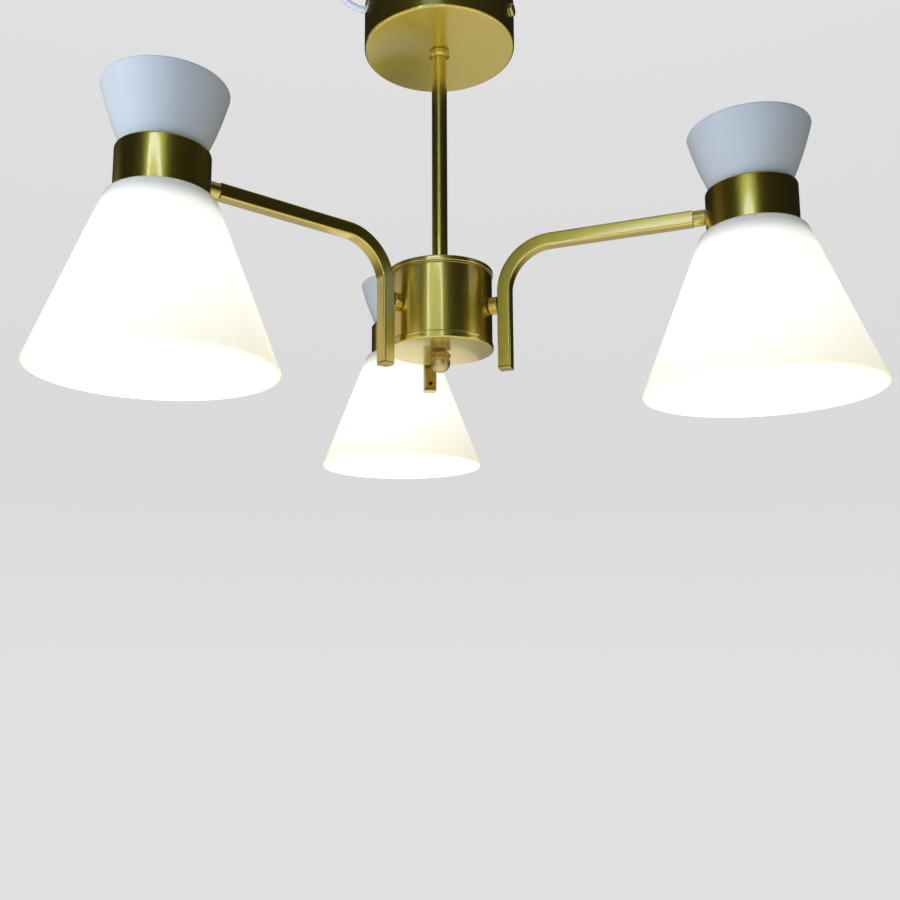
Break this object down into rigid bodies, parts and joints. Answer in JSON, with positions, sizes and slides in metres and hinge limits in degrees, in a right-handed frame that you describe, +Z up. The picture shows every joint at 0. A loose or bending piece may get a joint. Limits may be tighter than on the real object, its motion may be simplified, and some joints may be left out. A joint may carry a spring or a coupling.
{
  "type": "multi arm chandelier",
  "caption": "Semi-flush ceiling light: round canopy, down rod, drum hub and L-shaped square arms, each carrying an hourglass head with an open cup above and a cone shade below.",
  "frame": {"origin": "centre of the ceiling face of the mounting bracket, on the rod's axis", "axes": "+Z up, the down rod hangs along -Z; the back arm points along +Y, the left and right arms 120 degrees either side of it"},
  "size_m": [0.5528, 0.4994, 0.4076],
  "materials": {
    "satin_brass": "satin lacquered champagne brass",
    "polished_brass": "polished",
    "zinc_steel": "zinc plated",
    "opal_glass": "satin opal, lit from inside",
    "white_glass": "satin white opal",
    "lamp_glass": "frosted, lit",
    "white_moulding": "moulded",
    "cable_pvc": "soft PVC"
  },
  "bodies": {
    "fixture": {"mounting_bracket": "zinc_steel", "canopy_shell": "satin_brass", "terminal_block": "white_moulding", "supply_lead": "cable_pvc", "lead_connector": "white_moulding", "canopy_locknut": "zinc_steel", "rod_ring": "satin_brass", "down_rod": "satin_brass", "rod_wire": "cable_pvc", "hub_top_cap": "satin_brass", "hub_bottom_cap": "satin_brass", "hub_body": "satin_brass", "hub_coupler": "zinc_steel", "finial_stud": "zinc_steel", "back_arm_tube": "satin_brass", "back_arm_end_plug": "satin_brass", "back_spacer_boss": "satin_brass", "back_arm_bolt": "zinc_steel", "back_arm_wire": "cable_pvc", "back_ferrule": "satin_brass", "back_head_collar": "satin_brass", "back_ferrule_nut": "zinc_steel", "back_lampholder": "white_moulding", "back_lower_shade": "opal_glass", "back_upper_cup": "white_glass", "back_cup_nut": "satin_brass", "left_arm_tube": "satin_brass", "left_arm_end_plug": "satin_brass", "left_spacer_boss": "satin_brass", "left_arm_bolt": "zinc_steel", "left_arm_wire": "cable_pvc", "left_ferrule": "satin_brass", "left_head_collar": "satin_brass", "left_ferrule_nut": "zinc_steel", "left_lampholder": "white_moulding", "left_lower_shade": "opal_glass", "left_upper_cup": "white_glass", "left_cup_nut": "satin_brass", "right_arm_tube": "satin_brass", "right_arm_end_plug": "satin_brass", "right_spacer_boss": "satin_brass", "right_arm_bolt": "zinc_steel", "right_arm_wire": "cable_pvc", "right_ferrule": "satin_brass", "right_head_collar": "satin_brass", "right_ferrule_nut": "zinc_steel", "right_lampholder": "white_moulding", "right_lower_shade": "opal_glass", "right_upper_cup": "white_glass", "right_cup_nut": "satin_brass"},
    "screw_right": {"canopy_screw_right": "polished_brass"},
    "screw_left": {"canopy_screw_left": "polished_brass"},
    "finial_nut_turned": {"finial_nut": "polished_brass"},
    "finial_ball_turned": {"finial_ball": "polished_brass"},
    "back_ring": {"back_shade_ring": "white_moulding"},
    "back_lamp": {"back_bulb": "lamp_glass"},
    "left_ring": {"left_shade_ring": "white_moulding"},
    "left_lamp": {"left_bulb": "lamp_glass"},
    "right_ring": {"right_shade_ring": "white_moulding"},
    "right_lamp": {"right_bulb": "lamp_glass"}
  },
  "joints": [
    {"name": "back_bulb_turn", "type": "hinge", "parent": "fixture", "child": "back_lamp", "pos_m": [0, 0.229, -0.2478], "axis": [0, 0, -1], "range_deg": [0, 900]},
    {"name": "back_shade_ring_turn", "type": "hinge", "parent": "fixture", "child": "back_ring", "pos_m": [0, 0.229, -0.232], "axis": [0, 0, -1], "range_deg": [0, 900]},
    {"name": "left_bulb_turn", "type": "hinge", "parent": "fixture", "child": "left_lamp", "pos_m": [-0.19832, -0.1145, -0.2478], "axis": [0, 0, -1], "range_deg": [0, 900]},
    {"name": "left_shade_ring_turn", "type": "hinge", "parent": "fixture", "child": "left_ring", "pos_m": [-0.19832, -0.1145, -0.232], "axis": [0, 0, -1], "range_deg": [0, 900]},
    {"name": "right_bulb_turn", "type": "hinge", "parent": "fixture", "child": "right_lamp", "pos_m": [0.19832, -0.1145, -0.2478], "axis": [0, 0, -1], "range_deg": [0, 900]},
    {"name": "right_shade_ring_turn", "type": "hinge", "parent": "fixture", "child": "right_ring", "pos_m": [0.19832, -0.1145, -0.232], "axis": [0, 0, -1], "range_deg": [0, 900]},
    {"name": "finial_nut_turn", "type": "hinge", "parent": "fixture", "child": "finial_nut_turned", "pos_m": [0, 0, -0.2888], "axis": [0, 0, -1], "range_deg": [0, 1080]},
    {"name": "finial_ball_turn", "type": "hinge", "parent": "fixture", "child": "finial_ball_turned", "pos_m": [0, 0, -0.2946], "axis": [0, 0, -1], "range_deg": [0, 2160]},
    {"name": "canopy_screw_right_turn", "type": "hinge", "parent": "fixture", "child": "screw_right", "pos_m": [0.05222, -0.03015, -0.016], "axis": [0.866, -0.5, 0], "range_deg": [0, 2160]},
    {"name": "canopy_screw_left_turn", "type": "hinge", "parent": "fixture", "child": "screw_left", "pos_m": [-0.05222, 0.03015, -0.016], "axis": [-0.866, 0.5, 0], "range_deg": [0, 2160]}
  ]
}
